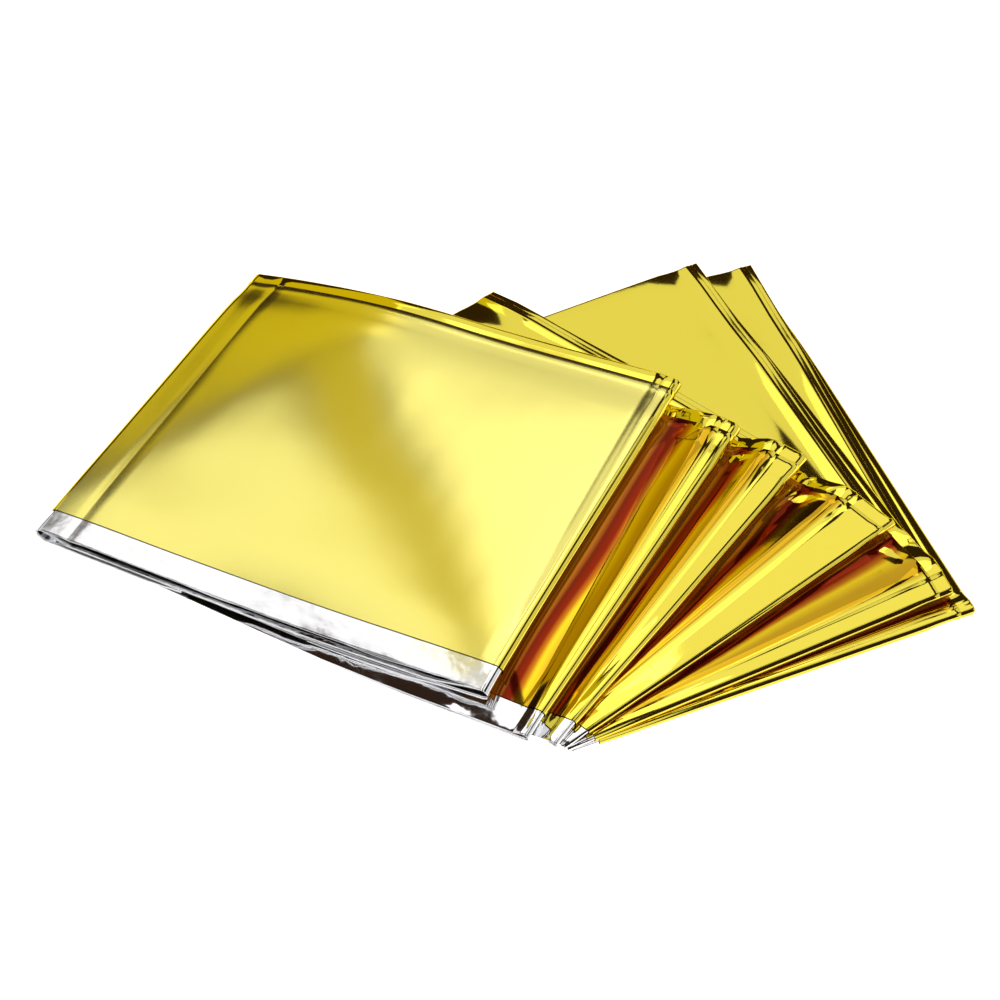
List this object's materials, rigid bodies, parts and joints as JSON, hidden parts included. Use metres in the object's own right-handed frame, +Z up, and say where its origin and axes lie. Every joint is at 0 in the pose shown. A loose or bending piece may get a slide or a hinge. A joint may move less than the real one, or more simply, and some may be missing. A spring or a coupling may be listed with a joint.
{
  "type": "emergency foil blanket",
  "caption": "Gold and silver emergency foil blanket, pleated into a strip, folded like a concertina and fanned out about one corner.",
  "frame": {"origin": "middle of the footprint's bounding box, on the surface the folded blanket rests on", "axes": "+Z up; +X from the top panel's turned-under end towards the spread right-hand folds; +Y from the corner about which the panels fan out towards their far edges"},
  "size_m": [0.2532, 0.1762, 0.0197],
  "materials": {
    "foil": "thin polyester film metallised with aluminium, bright lemon gold on one face and mirror silver on the other"
  },
  "bodies": {
    "root": {"blanket": "foil"}
  },
  "joints": []
}
